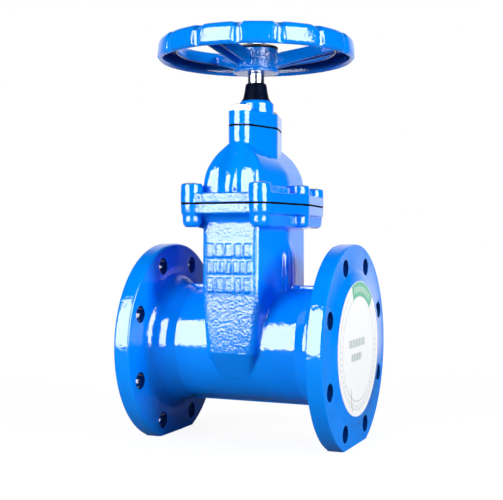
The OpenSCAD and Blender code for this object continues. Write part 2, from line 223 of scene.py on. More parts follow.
# %% [markdown]
# ## Blue epoxy over iron
# Fusion-bonded epoxy is a thick glossy powder coat. It flows out smooth but keeps a fine orange
# peel, and the sand-cast skin under it shows through where the mould left it rough. A `rough_cast`
# number, stored on each point of a casting, says where that skin is coarse. A `in_hole`
# number on each face darkens the paint in the bolt holes and the wheel's hollow, as painted shade.
# Both feed one material, which is simpler than a second one and leaves no border between the two.

# %% Make the epoxy
PEEL_DEPTH = 0.16 * MM


def epoxy_finish():
    paint = Finish("blue_epoxy")
    place, _ = paint.position()
    rough = paint.node("ShaderNodeAttribute", {"attribute_name": "rough_cast"}, out=2)
    cloud = paint.noise(place, 18.0, 3.0).fade(0.3, 0.7)
    tint = paint.blend(cloud, colour(0.0, 0.225, 0.88), colour(0.0, 0.255, 0.97))
    # painted shade: the faces of the bolt holes and the wheel's hollow turn dark navy
    recess_shade = paint.node("ShaderNodeAttribute", {"attribute_name": "in_hole"}, out=2)
    tint = paint.blend(recess_shade, tint, colour(0.0, 0.05, 0.30))
    peel = paint.noise(place, 330.0, 1.0, 0.4)
    wave = paint.noise(place, 70.0, 1.0, 0.4)
    sand = paint.noise(place, 380.0, 1.0, 0.45, 0.3)
    grit = paint.noise(place, 800.0, 1.0, 0.5)
    height = peel * 1.1 + wave * 0.5 + rough * (sand * 6.0 + grit * 1.3)
    normal = paint.bump(height, PEEL_DEPTH)
    gloss = cloud * 0.02 + rough * 0.03 + 0.05
    return paint.done(Base_Color=tint, Roughness=gloss, Normal=normal)


epoxy = epoxy_finish()
print("made", epoxy.name, "with", len(epoxy.node_tree.nodes), "nodes")

# %% [markdown]
# ## Metals, rubber, wax and label film
# The small parts are each another stuff: a turned stem, zinc-plated bolts, an oiled black washer,
# moulded rubber, and the hot wax that seals the sunk screws. An image of each stuff would do too,
# but a noise in object coordinates has no seam and keeps its size on every part.


# %% Bright metals
def turned_steel():
    paint = Finish("stem_steel")
    place, _ = paint.position()
    rings = paint.noise(paint.stretched(place, (8, 8, 2600)), 1.0, 2.0)
    smear = paint.noise(paint.stretched(place, (60, 60, 12)), 1.0, 3.0)
    tint = paint.blend(smear, colour(0.62, 0.62, 0.65), colour(0.74, 0.75, 0.78))
    return paint.done(Base_Color=tint, Metallic=1.0, Roughness=smear * 0.12 + 0.14,
                      Normal=paint.bump(rings, 0.012 * MM))


def zinc_plate():
    paint = Finish("zinc_plate")
    place, (_, y, _) = paint.position()
    spangle = paint.noise(place, 240.0, 3.0)
    plate = paint.blend(spangle, colour(0.66, 0.67, 0.70), colour(0.84, 0.84, 0.86))
    rusty = (y > 20 * MM) * (y < 60 * MM)  # the back gland bolt has lost its zinc
    tint = paint.blend(rusty * 0.8, plate, colour(0.20, 0.11, 0.07))
    return paint.done(Base_Color=tint, Metallic=1.0, Roughness=spangle * 0.2 + 0.2,
                      Normal=paint.bump(spangle, 0.02 * MM))


# %% Rules for the other finishes
def stained(name, scale, detail, first, second, gloss, depth, **constants):
    """A finish whose colour, roughness and bump all follow one noise."""
    paint = Finish(name)
    place, _ = paint.position()
    stain = paint.noise(place, scale, detail)
    return paint.done(Base_Color=paint.blend(stain, first, second), Roughness=stain * 0.2 + gloss,
                      Normal=paint.bump(stain, depth), **constants)


def moulded_rubber(name, dark, dusty, roughness, shine):
    """Rubber between two colours; a low shine keeps the tall boxes out of it."""
    paint = Finish(name)
    place, _ = paint.position()
    grain = paint.noise(place, 1400.0, 2.0)
    bloom = paint.noise(place, 90.0, 4.0).fade(0.45, 0.75)
    return paint.done(Base_Color=paint.blend(bloom, dark, dusty), Roughness=bloom * 0.1 + roughness,
                      Specular_IOR_Level=shine, Normal=paint.bump(grain, 0.02 * MM))


# %% Make the finishes of the small parts
steel = turned_steel()
zinc = zinc_plate()
oiled = stained("dark_steel", 140.0, 4.0, colour(0.004, 0.005, 0.009), colour(0.012, 0.013, 0.018),
                0.3, 0.02 * MM, Specular_IOR_Level=0.25)
# The dust cap's near-black is tinted blue as a painted reflection of the blue castings.
rubber = moulded_rubber("black_rubber", colour(0.0008, 0.003, 0.013),
                        colour(0.002, 0.005, 0.017), 0.30, 0.025)
gasket_rubber = moulded_rubber("gasket_rubber", colour(0.002, 0.002, 0.003),
                               colour(0.004, 0.004, 0.005), 0.85, 0.02)
wedge_rubber = moulded_rubber("rubber_faced_iron", colour(0.006, 0.006, 0.008),
                              colour(0.035, 0.035, 0.035), 0.4, 0.5)
wax = stained("sealing_wax", 160.0, 3.0, colour(0.30, 0.20, 0.11), colour(0.50, 0.39, 0.24),
              0.3, 0.25 * MM)
brass = stained("nut_brass", 120.0, 3.0, colour(0.55, 0.36, 0.12), colour(0.72, 0.52, 0.22),
                0.25, 0.02 * MM, Metallic=1.0)
print("made", len(bpy.data.materials), "materials so far")

# %% [markdown]
# ## The label over the port
# A new valve leaves the works with a round film over each port, to keep dirt out. It is white
# with fine rings and one green block, and it carries no words here. The pattern is drawn with
# the distance and the angle from the pipe axis, so it needs no picture.


# %% Draw the label
def label_film():
    paint = Finish("label_film")
    place, (x, y, z) = paint.position()
    up = (z - pipe_z) / MM
    across = y / MM
    radius = (up * up + across * across) ** 0.5
    angle = paint.node("ShaderNodeMath", {"operation": "ARCTAN2"}, {0: across, 1: up}) * math.degrees(1)

    def between(value, low, high):
        return (value > low) * (value < high)

    def ring(at, width):
        return between(radius, at - width / 2, at + width / 2)

    def striped(value, pitch, share):
        """1 over the first share of each pitch."""
        turns = value / pitch
        return turns.maths("FRACT", turns) < share

    def dashes(low, high, left, right, pitch, share):
        return between(up, low, high) * between(across, left, right) * striped(across, pitch, share)

    block = between(radius, 54.0, 68.8) * between(angle, -21.0, 43.0)
    bars = between(radius, 58.2, 64.6) * between(angle, -15.0, 37.0) * striped(angle, 5.2, 0.45)
    rings = ring(54.0, 1.1) + ring(62.5, 0.9) + ring(74.2, 0.8)
    rows = dashes(2.5, 10.5, -33.0, 21.0, 5.4, 0.66) + dashes(-11.5, -4.0, -26.0, 8.5, 5.75, 0.7)
    ticks = ring(59.0, 3.4) * striped(angle, 6.0, 0.42) * (up < 8.0)
    tear = between(across + up * 0.2, -35.2, -33.8) * between(up, -62.2, -38.5)
    mottle = paint.noise(place, 300.0, 2.0)
    film = paint.blend(mottle, colour(0.90, 0.91, 0.93), colour(0.94, 0.94, 0.96))
    film = paint.blend(rings * 0.75, film, colour(0.42, 0.48, 0.54))
    film = paint.blend(ticks * 0.45, film, colour(0.34, 0.46, 0.46))
    film = paint.blend(rows * 0.9, film, colour(0.34, 0.46, 0.44))
    film = paint.blend(block, film, colour(0.16, 0.52, 0.36))
    film = paint.blend(bars * 0.8, film, colour(0.82, 0.88, 0.86))
    film = paint.blend(tear * 0.8, film, colour(0.14, 0.15, 0.18))
    wrinkle = paint.noise(paint.stretched(place, (1, 30, 12)), 1.0, 2.0)
    return paint.done(Base_Color=film, Roughness=mottle * 0.1 + 0.32,
                      Normal=paint.bump(wrinkle, 0.3 * MM))


label = label_film()
print("the label's pattern takes", len(label.node_tree.nodes), "nodes")

# %% [markdown]
# ## Finish the nodes whose shape is already right
# The gland gasket, the label, the wedge nut and the sunk screws need no new mesh, only their stuff.


# %% Paint the kept nodes
def paint_node(name, material):
    mesh = nodes[name].data
    mesh.materials.clear()
    mesh.materials.append(material)


KEPT = {"gland_gasket": gasket_rubber, "port_label": label, "wedge_nut": brass}
KEPT.update({f"bonnet_screw_{i}": zinc for i in range(1, 7)})
for name, material in KEPT.items():
    paint_node(name, material)
print("painted", len(KEPT), "nodes")

# %% [markdown]
# ## Castings
# A casting has no sharp edge: the sand mould rounds every corner and fills every inner angle.
# The quickest way to that look is to copy the plain solid, remesh it into even small cells and
# relax them, which rounds all edges at once. A decimation then takes back the cells that flat
# faces don't need.


# %% Pieces and their meshes
def add_piece(name, mesh, body, material, replaces=()):
    piece = in_scene(name, mesh)
    mesh.materials.clear()
    mesh.materials.append(material)
    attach(piece, body)
    if replaces:
        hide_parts(*replaces)
    print(name, "has", sum(len(p.vertices) - 2 for p in mesh.polygons), "triangles")
    return piece


def shape_of(mesh, merge=False):
    """A bmesh of a mesh, with the points that lie on each other merged if asked."""
    shape = bmesh.new()
    shape.from_mesh(mesh)
    if merge:
        bmesh.ops.remove_doubles(shape, verts=shape.verts, dist=0.001 * MM)
    return shape


def plain_mesh(shape, name):
    """A mesh of a bmesh, which is freed."""
    mesh = bpy.data.meshes.new(name)
    shape.to_mesh(mesh)
    shape.free()
    return mesh


def mesh_of(shape, name, crease=50):
    """A bmesh as a smooth-shaded mesh whose sharper edges stay crisp."""
    bmesh.ops.recalc_face_normals(shape, faces=shape.faces)
    mesh = plain_mesh(shape, name)
    mesh.shade_smooth()
    mesh.set_sharp_from_angle(angle=math.radians(crease))
    return mesh


def with_modifiers(mesh, *modifiers):
    """The mesh with modifiers applied, each given as its type, settings and, for nodes, inputs."""
    scratch = in_scene("scratch", mesh)
    for kind, settings, *inputs in modifiers:
        modifier = scratch.modifiers.new(kind, kind)
        for key, value in settings.items():
            setattr(modifier, key, value)
        for key, value in dict(*inputs).items():
            modifier[key] = value
    graph = bpy.context.evaluated_depsgraph_get()
    made = bpy.data.meshes.new_from_object(scratch.evaluated_get(graph))
    bpy.data.objects.remove(scratch)
    return made


# %% Measure and mark a mesh
def column(items, key):
    """One vector of every item, as rows of three numbers."""
    values = np.empty(len(items) * 3)
    items.foreach_get(key, values)
    return values.reshape(-1, 3)


def points_of(mesh):
    """Places (mm) and facings of a mesh's points."""
    return column(mesh.vertices, "co") / MM, column(mesh.vertex_normals, "vector")


def faces_of(mesh):
    """Centres (mm) and facings of a mesh's faces."""
    return column(mesh.polygons, "center") / MM, column(mesh.polygons, "normal")


def soft_step(value, start, end):
    share = np.clip((value - start) / (end - start), 0, 1)
    return share * share * (3 - 2 * share)


def store(mesh, name, domain, values):
    """Keeps a number from 0 to 1 on each point or face, for the materials to read."""
    held = mesh.attributes.new(name, "FLOAT", domain)
    held.data.foreach_set("value", np.clip(values, 0, 1).astype(np.float32))


def mark_rough(mesh, amount):
    """Stores how coarse the cast skin is at each point."""
    store(mesh, "rough_cast", "POINT", amount)


# %% Change a plain solid
SPARE = 6 * MM  # stock left on a face that is machined after casting
GAP = 0.6 * MM  # how far a machined face stays clear of its gasket


def leave_stock(shape, faces):
    """Carries flat faces on outwards. Each is an axis (0 to 2), a side (1 or -1) and a place."""
    for axis, side, place in faces:
        flat = [f for f in shape.faces if f.normal[axis] * side > 0.99
                and abs(f.calc_center_median()[axis] - place) < 0.05 * MM]
        grown = bmesh.ops.extrude_face_region(shape, geom=flat)["geom"]
        outward = Vector((0, 0, 0))
        outward[axis] = side * SPARE
        moved_verts = [v for v in grown if isinstance(v, bmesh.types.BMVert)]
        bmesh.ops.translate(shape, verts=moved_verts, vec=outward)


def add_box(shape, low, high, rounding=0.0):
    """Adds a box between two corners, in millimetres, with rounded edges if asked."""
    low, high = Vector(low) * MM, Vector(high) * MM
    placed = Matrix.Translation((low + high) / 2) @ Matrix.Diagonal((*(high - low), 1))
    made = bmesh.ops.create_cube(shape, size=1, matrix=placed)["verts"]
    if rounding:
        edges = {e for v in made for e in v.link_edges}
        bmesh.ops.bevel(shape, geom=list(edges), offset=rounding * MM, segments=2, profile=0.5,
                        affect="EDGES")


ALONG_X = Matrix.Rotation(math.pi / 2, 4, "Y")  # lays an upright shape down along x


def add_rod(shape, radius, start, end, y, z, steps=48):
    """Adds a cylinder along x, in millimetres."""
    placed = Matrix.Translation((((start + end) / 2) * MM, y * MM, z * MM)) @ ALONG_X
    bmesh.ops.create_cone(shape, cap_ends=True, segments=steps, radius1=radius * MM,
                          radius2=radius * MM, depth=abs(end - start) * MM, matrix=placed)


def add_prism(shape, outline, low, high):
    """Adds a prism between two heights over (x, y) points, in millimetres."""
    rings = [[shape.verts.new((x * MM, y * MM, z * MM)) for x, y in outline] for z in (low, high)]
    for i in range(len(outline)):
        j = (i + 1) % len(outline)
        shape.faces.new((rings[0][i], rings[0][j], rings[1][j], rings[1][i]))
    shape.faces.new(rings[0][::-1])
    shape.faces.new(rings[1])


# %% Carve and cast
def carve(mesh, tool, operation="DIFFERENCE"):
    """Cuts a closed shape out of a mesh, or joins it on, with crisp machined edges."""
    bmesh.ops.recalc_face_normals(tool, faces=tool.faces)
    cutter = in_scene("tool", plain_mesh(tool, "tool"))
    settings = {"operation": operation, "solver": "MANIFOLD", "object": cutter}
    mesh = with_modifiers(mesh, ("BOOLEAN", settings))
    bpy.data.objects.remove(cutter)
    return mesh


def cast_copy(node, cell, relax, most_triangles, stock=(), prepare=None, settle=None, tools=()):
    """A rounded copy of a node: stock and prepare change the plain solid before it is remeshed,
    settle works on the relaxed mesh, and tools are cut out of it last."""
    shape = shape_of(nodes[node].data, merge=True)
    leave_stock(shape, stock)
    if prepare:
        prepare(shape)
    mesh = with_modifiers(plain_mesh(shape, node),
                          ("REMESH", {"mode": "VOXEL", "voxel_size": cell}),
                          ("SMOOTH", {"factor": 0.5, "iterations": relax}))
    if settle:
        mesh = settle(mesh)
    ratio = min(1.0, most_triangles / (2 * len(mesh.polygons)))
    mesh = with_modifiers(mesh, ("DECIMATE", {"ratio": ratio}))
    for tool in tools:
        mesh = carve(mesh, tool())
    return mesh_of(shape_of(mesh), node, 35)


# %% Lathe
def lathe(profile, steps=96, radius=None, closed=False):
    """Spins (r, z) points, in mm; radius(r, z, angle) may change a point as it goes round."""
    shape = bmesh.new()
    rings = []
    for r, z in profile:
        if r < 1e-6:
            rings.append([shape.verts.new((0, 0, z * MM))])
            continue
        ring = []
        for i in range(steps):
            angle = 2 * math.pi * i / steps
            rr, zz = radius(r, z, angle) if radius else (r, z)
            ring.append(shape.verts.new((rr * math.cos(angle) * MM, rr * math.sin(angle) * MM, zz * MM)))
        rings.append(ring)
    pairs = list(zip(rings, rings[1:])) + ([(rings[-1], rings[0])] if closed else [])
    for low, high in pairs:
        for i in range(steps):
            j = (i + 1) % steps
            corners = [low[i % len(low)], low[j % len(low)], high[j % len(high)], high[i % len(high)]]
            corners = list(dict.fromkeys(corners))
            if len(corners) > 2:
                shape.faces.new(corners)
    return shape


# %% [markdown]
# ## The valve body
# The front of the chamber carries three rows of raised pads, where a foundry puts its marks; here
# they are blank. They are added to the copy before it is remeshed, so they grow out of the wall
# with the same fillets. The flange faces, the bolt holes, the joint face and the feet are cut
# afterwards, as on the real casting. The skin is coarse on the front of the chamber only.


# %% Measure the body
def first_hit(node, start, heading):
    """The place, in millimetres, where a ray first meets a node."""
    shape = shape_of(nodes[node].data)
    place = BVHTree.FromBMesh(shape).ray_cast(Vector(start) * MM, Vector(heading))[0]
    shape.free()
    return place / MM


axis_z, joint_z, half_len = pipe_z / MM, body_high.z / MM, body_high.x / MM
chamber_front = -first_hit("valve_body", (0, -200, 166), (0, 1, 0)).y
flange_out = first_hit("valve_body", (200, 0, axis_z + 92), (-1, 0, 0)).x
flange_in = first_hit("valve_body", (60, 0, axis_z + 92), (1, 0, 0)).x
corner_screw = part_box("bonnet_screw_1")
side_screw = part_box("bonnet_screw_2")
corner_x = abs(corner_screw[0].x + corner_screw[1].x) / 2 / MM
corner_y = abs(corner_screw[0].y + corner_screw[1].y) / 2 / MM
side_x = abs(side_screw[0].x + side_screw[1].x) / 2 / MM
body_place, _ = points_of(nodes["valve_body"].data)
on_face = np.abs(body_place[:, 0] - half_len) < 0.05
raised_r = np.hypot(body_place[on_face, 1], body_place[on_face, 2] - axis_z).max()
print("chamber front", round(chamber_front, 1), "flange", round(flange_in, 1), round(flange_out, 1),
      "raised face", round(raised_r, 1), "screws", corner_x, corner_y, side_x)

# %% Shape the body
PAD_ROWS = [(193.6, 208.2, 5), (177.0, 190.2, 7), (157.8, 173.8, 5)]  # low, high (mm), pads
PAD_LEFT = -25.0
PAD_RIGHT = 24.4
PAD_GAP = 2.2
PAD_RISE = 2.1
PAD_ROUNDING = 0.9
HOLE_COUNT = 8
HOLE_CIRCLE_R = 90.0
HOLE_R = 9.0
BOSS_R = 11.5      # of the bosses round the joint screws
PLATE_T = 10.2     # of the strips between the bosses
SKIRT_DOWN = 13.3  # how far the web between the bosses hangs below the strip
FLANGE_DRAFT = 0.016


def hole_places():
    for i in range(HOLE_COUNT):
        angle = 2 * math.pi * (i + 0.5) / HOLE_COUNT
        yield HOLE_CIRCLE_R * math.sin(angle), axis_z + HOLE_CIRCLE_R * math.cos(angle)


def plate_side(side, out=BOSS_R):
    """Outline of the strip that joins the three bosses on one side by tangents."""
    lean = math.atan2(side_x - corner_x, corner_y)
    nx, ny = out * math.cos(lean), out * math.sin(lean)
    points = [(side_x + nx, -ny), (side_x + nx, ny), (corner_x + nx, corner_y + ny),
              (corner_x, corner_y), (corner_x, -corner_y), (corner_x + nx, -corner_y - ny)]
    return [(side * x, y) for x, y in points]


def prepare_body(shape):
    for low, high, count in PAD_ROWS:
        pitch = (PAD_RIGHT - PAD_LEFT + PAD_GAP) / count
        for i in range(count):
            left = PAD_LEFT + i * pitch
            add_box(shape, (left, -chamber_front - PAD_RISE, low),
                    (left + pitch - PAD_GAP, 3 - chamber_front, high), PAD_ROUNDING)
    for side in (-1, 1):
        add_prism(shape, plate_side(side), joint_z - PLATE_T, joint_z + SPARE / MM)
        skirt = [(side_x + 0.5, -9), (side_x + 0.5, 9), (corner_x + 9.6, corner_y - 2),
                 (corner_x, corner_y), (corner_x, -corner_y), (corner_x + 9.6, 2 - corner_y)]
        add_prism(shape, [(side * x, y) for x, y in skirt],
                  joint_z - PLATE_T - SKIRT_DOWN + 1, joint_z - PLATE_T + 1)
        for y, z in hole_places():
            add_rod(shape, HOLE_R + 1.5, side * (flange_in + 0.3), side * (flange_out + 5), y, z)


def settle_body(mesh):
    """Gives the inner faces of the flanges their draft, thicker towards the pipe."""
    place, facing = points_of(mesh)
    radius = np.hypot(place[:, 1], place[:, 2] - axis_z)
    side = np.sign(place[:, 0])
    inner = soft_step(radius, 70, 84) * soft_step(-facing[:, 0] * side, 0.6, 0.9)
    place[:, 0] -= side * inner * FLANGE_DRAFT * (flange_r / MM - np.abs(place[:, 1]))
    mesh.vertices.foreach_set("co", (place * MM).ravel())
    return mesh


# %% Machine the body
def saw():
    """Takes the stock off the joint face and the feet."""
    shape = bmesh.new()
    add_box(shape, (-200, -200, joint_z - GAP / MM), (200, 200, joint_z + 50))
    add_box(shape, (-200, -200, -50), (200, 200, 0))
    return shape


def facing_tool():
    """Turns both flange faces, each with its raised ring."""
    rim = flange_r / MM
    profile = [(0, half_len), (raised_r - 1.4, half_len), (raised_r + 3.2, flange_out + 0.2),
               (raised_r + 3.8, flange_out), (rim - 0.4, flange_out), (rim + 2, flange_out - 2.4),
               (rim + 5, flange_out - 2.4), (rim + 5, half_len + 12), (0, half_len + 12)]
    shape = bmesh.new()
    for side in (-1, 1):
        part = lathe(profile, 192)
        turn = Matrix.Rotation(side * math.pi / 2, 4, "Y")
        part.transform(Matrix.Translation((0, 0, pipe_z)) @ turn)
        shape.from_mesh(plain_mesh(part, "part"))
    return shape


def drill():
    shape = bmesh.new()
    for side in (-1, 1):
        for y, z in hole_places():
            add_rod(shape, HOLE_R, side * (flange_in - 6), side * (half_len + 6), y, z, 64)
    return shape


# %% Cast the body
body_stock = [(2, 1, body_high.z), (2, -1, 0.0)]
for side in (-1, 1):
    body_stock += [(0, side, side * flange_out * MM), (0, side, side * half_len * MM)]
body_mesh = cast_copy("valve_body", 1.0 * MM, 4, 180000, stock=body_stock, prepare=prepare_body,
                      settle=settle_body, tools=(saw, facing_tool, drill))
place, facing = points_of(body_mesh)
front = soft_step(np.abs(facing[:, 1]), 0.80, 0.97) * soft_step(np.abs(place[:, 1]), 65, 67)
front *= soft_step(36 - np.abs(place[:, 0]), 0, 6)
front *= 0.2 + 0.6 * soft_step(place[:, 2], 98, 125) * (1 - 0.45 * soft_step(place[:, 2], 165, 200))
side = soft_step(place[:, 2], 150, 170) * soft_step(np.abs(place[:, 1]), 20, 40) * 0.15
mark_rough(body_mesh, np.maximum(front, side))


def paint_hole_shade(mesh):
    """Stores 1 on the faces of the bolt holes: painted shade that darkens them."""
    centre, _ = faces_of(mesh)
    recess_shade = np.zeros(len(centre))
    for y, z in hole_places():
        near = np.hypot(centre[:, 1] - y, centre[:, 2] - z) < HOLE_R - 0.001
        recess_shade[near & (np.abs(centre[:, 0]) > flange_in - 6)] = 1
    store(mesh, "in_hole", "FACE", recess_shade)
    print(int(recess_shade.sum()), "faces in the holes")


paint_hole_shade(body_mesh)
add_piece("valve_body_casting", body_mesh, "housing", epoxy, ["valve_body"])

# %% [markdown]
# ## The bonnet
# It is a casting too, with a coarse joint edge and a smooth dome. The joint faces are machined, so
# they are cut back flat after the relaxing, which leaves a crisp line at each gasket. Modelling
# the fillets by hand would take far longer and would round the edges less evenly.

# %% Cast the bonnet
bonnet_low, bonnet_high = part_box("bonnet")
gland_low, gland_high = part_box("gland_cover")


def prepare_bonnet(shape):
    for side in (-1, 1):
        add_prism(shape, plate_side(side), bonnet_low.z / MM - SPARE / MM, bonnet_low.z / MM + PLATE_T)


def slab_tool(low, high):
    """A tool that clears everything between two heights, in metres."""
    def tool():
        shape = bmesh.new()
        add_box(shape, (-200, -200, low / MM), (200, 200, high / MM))
        return shape
    return tool


bonnet_stock = [(2, -1, bonnet_low.z), (2, 1, bonnet_high.z)]
bonnet_tools = [slab_tool(bonnet_low.z - 0.05, bonnet_low.z + GAP),
                slab_tool(bonnet_high.z - GAP, bonnet_high.z + 0.05)]
bonnet_mesh = cast_copy("bonnet", 0.8 * MM, 3, 160000, stock=bonnet_stock, prepare=prepare_bonnet,
                        tools=bonnet_tools)
place, facing = points_of(bonnet_mesh)
edge = soft_step(np.abs(facing[:, 1]), 0.80, 0.97) * soft_step(np.abs(place[:, 1]), 80, 83)
mark_rough(bonnet_mesh, 0.8 * edge * soft_step(33 - np.abs(place[:, 0]), 0, 4))
add_piece("bonnet_casting", bonnet_mesh, "housing", epoxy, ["bonnet"])

# %% [markdown]
# ## The gasket under the bonnet
# A rubber sheet is cut to the outline of the joint, with a hole for each screw. Its dark edge is
# the line that parts the two castings, so it has to run round every boss. The plain ring is
# joined with a strip and three discs on each side, and the screw holes are cut out at the end.

# %% Cut the gasket
GASKET_IN = 0.4  # how far the gasket stays inside the castings, in mm
SCREW_HOLE_R = 6.6


def disc(x, y, radius, steps=48):
    turns = [2 * math.pi * i / steps for i in range(steps)]
    return [(x + radius * math.cos(t), y + radius * math.sin(t)) for t in turns]


gasket_low = joint_z - GAP / MM + 0.02
gasket_high = bonnet_low.z / MM + GAP / MM - 0.02
boss_places = [(sx * corner_x, sy * corner_y) for sx in (-1, 1) for sy in (-1, 1)]
boss_places += [(-side_x, 0), (side_x, 0)]
outlines = [plate_side(side, BOSS_R - GASKET_IN) for side in (-1, 1)]
outlines += [disc(x, y, BOSS_R - GASKET_IN) for x, y in boss_places]
gasket_shape = shape_of(nodes["bonnet_gasket"].data, merge=True)
for v in gasket_shape.verts:
    v.co.z = (gasket_high if v.co.z > (joint_z + 0.1) * MM else gasket_low) * MM
gasket_mesh = plain_mesh(gasket_shape, "gasket")
for outline in outlines:
    part = bmesh.new()
    add_prism(part, outline, gasket_low + 0.001, gasket_high - 0.001)
    gasket_mesh = carve(gasket_mesh, part, "UNION")
bores = bmesh.new()
for x, y in boss_places:
    add_prism(bores, disc(x, y, SCREW_HOLE_R), gasket_low - 1, gasket_high + 1)
gasket_mesh = mesh_of(shape_of(carve(gasket_mesh, bores)), "bonnet_gasket_cut", 30)
add_piece("bonnet_gasket_cut", gasket_mesh, "housing", gasket_rubber, ["bonnet_gasket"])

# %% [markdown]
# ## The gland cover
# This small casting holds the stem's seals. Its flange sits on the neck's two ears, and the dust
# cap's skirt hangs over the top of its barrel, so the copy's barrel ends a little lower.

# %% Cast the gland cover
BARREL_DROP = 2.4  # the cap's skirt hangs this far over the top of the barrel, in mm


def prepare_gland(shape):
    for v in shape.verts:
        if v.co.z > gland_high.z - 4 * MM:
            v.co.z -= BARREL_DROP * MM


gland_tools = [slab_tool(gland_low.z - 0.05, gland_low.z + GAP)]
gland_mesh = cast_copy("gland_cover", 0.7 * MM, 4, 60000, stock=[(2, -1, gland_low.z)],
                       prepare=prepare_gland, tools=gland_tools)
mark_rough(gland_mesh, np.zeros(len(gland_mesh.vertices)))
add_piece("gland_cover_casting", gland_mesh, "housing", epoxy, ["gland_cover"])

# %% [markdown]
# ## The handwheel
# It is one casting: a hub, three channel spokes and a rim that is hollow from below. The grip
# grooves let a gloved hand hold it. The hub has the coarsest skin. The faces of the hollow are
# marked so that the paint is darker there, as painted shade, since hardly any light gets in.

# %% Cast the handwheel
LIP_SPARE = 1.3  # how much the thin lips of the rim would shrink, in mm
RIM_BAND = 30    # points further out than this much inside the rim belong to it, in mm
wheel_r = (rim_high.x - hub_low.x) / 2 / MM
rim_place, _ = points_of(nodes["handwheel"].data)
rim_bottom = rim_place[np.hypot(rim_place[:, 0], rim_place[:, 1]) > wheel_r - RIM_BAND, 2].min()


def prepare_wheel(shape):
    for v in shape.verts:
        if math.hypot(v.co.x, v.co.y) > (wheel_r - RIM_BAND) * MM and v.co.z < (rim_bottom + 0.3) * MM:
            v.co.z -= LIP_SPARE * MM


wheel_mesh = cast_copy("handwheel", 0.85 * MM, 3, 185000, prepare=prepare_wheel)
place, facing = points_of(wheel_mesh)
radius = np.hypot(place[:, 0], place[:, 1])
cast_bottom = place[radius > wheel_r - RIM_BAND, 2].min()
print("rim bottom", round(rim_bottom, 1), "after casting", round(cast_bottom, 1))
hub = 1 - soft_step(radius, 25, 40)
rim = soft_step(radius, wheel_r - 12, wheel_r - 5)
low_half = 1 - soft_step(place[:, 2], rim_bottom + 8, rim_bottom + 15)
mark_rough(wheel_mesh, 0.85 * hub + rim * (0.06 + 0.2 * low_half))


def paint_hollow_shade(mesh):
    """Stores painted shade on the faces that lie in the hollow of the rim and the spokes."""
    centre, facing = faces_of(mesh)
    radius = np.hypot(centre[:, 0], centre[:, 1])
    outward = (centre[:, 0] * facing[:, 0] + centre[:, 1] * facing[:, 1]) / radius
    roof = (facing[:, 2] < -0.5) & (radius > 30) & (radius < wheel_r - 3)
    wall = (radius > wheel_r - 12) & (radius < wheel_r - 1.5) & (outward < -0.3)
    back = (radius < wheel_r - 12) & (radius > wheel_r - RIM_BAND) & (outward > 0.4)
    deep = (roof | wall | back) & (centre[:, 2] > rim_bottom + 1.5)
    store(mesh, "in_hole", "FACE", 0.85 * deep)
    print(int(deep.sum()), "faces in the hollow")


paint_hollow_shade(wheel_mesh)
add_piece("handwheel_casting", wheel_mesh, "handwheel", epoxy, ["handwheel"])

# %% [markdown]
# ## Turned parts
# The dust cap, the washer, the nut and the stem are made by turning, so each is a profile spun
# about the stem's axis. A radius that changes with the angle turns a ring into a screw thread or
# into the six flats of a nut.


# %% Rules for turning
def moved(shape, z):
    """The shape, lifted by z millimetres."""
    bmesh.ops.translate(shape, verts=shape.verts, vec=(0, 0, z * MM))
    return shape


def hexagon(flats):
    """Radius rule for a head with a chamfered top: z is capped where a corner meets the cone."""
    def rule(r, z, angle):
        turn = (angle + math.pi / 6) % (math.pi / 3) - math.pi / 6
        corner = flats / 2 / math.cos(turn)
        if r < flats / 2 * 0.97:
            return r, z
        return corner, z - (corner - flats / 2 * 0.95) * 0.5 if z > 0.5 else z
    return rule


# %% Turn the dust cap
cap_base = cap_low.z / MM - BARREL_DROP
cap_h = cap_high.z / MM - cap_base
cap_profile = [(9.05, 0.4), (14.9, 0.0), (15.3, 0.3), (15.3, 1.3), (14.9, 1.8), (14.2, 2.0), (13.9, 2.5),
               (13.9, 3.1), (13.6, 4.2), (12.4, cap_h * 0.5), (11.5, cap_h - 3.4), (11.1, cap_h - 1.9),
               (10.4, cap_h - 0.9), (9.6, cap_h - 0.4), (9.05, cap_h - 0.3)]
cap_mesh = mesh_of(moved(lathe(cap_profile, closed=True), z=cap_base), "dust_cap_moulding", 65)
add_piece("dust_cap_moulding", cap_mesh, "housing", rubber, ["dust_cap"])

# %% Turn the washer and the nut
washer_r = (washer_high.x - washer_low.x) / 2 / MM
washer_h = (washer_high.z - washer_low.z) / MM
washer_profile = [(5.3, 0.3), (5.6, 0.0), (washer_r - 3.0, 0.0), (washer_r - 0.9, 0.5),
                  (washer_r - 0.2, 0.9), (washer_r, 1.3), (washer_r, washer_h - 0.5),
                  (washer_r - 0.3, washer_h - 0.1), (washer_r - 0.9, washer_h), (5.6, washer_h),
                  (5.3, washer_h - 0.3)]
washer_shape = moved(lathe(washer_profile, 128, closed=True), z=washer_low.z / MM)
washer_mesh = mesh_of(washer_shape, "washer_disc", 40)
add_piece("washer_disc", washer_mesh, "handwheel", oiled, ["wheel_washer"])

nut_low, nut_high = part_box("wheel_nut")
nut_flats = min(nut_high.x - nut_low.x, nut_high.y - nut_low.y) / MM
nut_h = (nut_high.z - nut_low.z) / MM
nut_profile = [(5.1, 0.6), (5.7, 0.0), (nut_flats / 2 * 0.93, 0.0), (nut_flats / 2, 0.3),
               (nut_flats / 2, nut_h), (nut_flats / 2 * 0.93, nut_h), (5.7, nut_h), (5.1, nut_h - 0.6)]
nut_shape = moved(lathe(nut_profile, 96, hexagon(nut_flats), closed=True), z=nut_low.z / MM)
nut_mesh = mesh_of(nut_shape, "nut_turned", 30)
add_piece("nut_turned", nut_mesh, "handwheel", zinc, ["wheel_nut"])

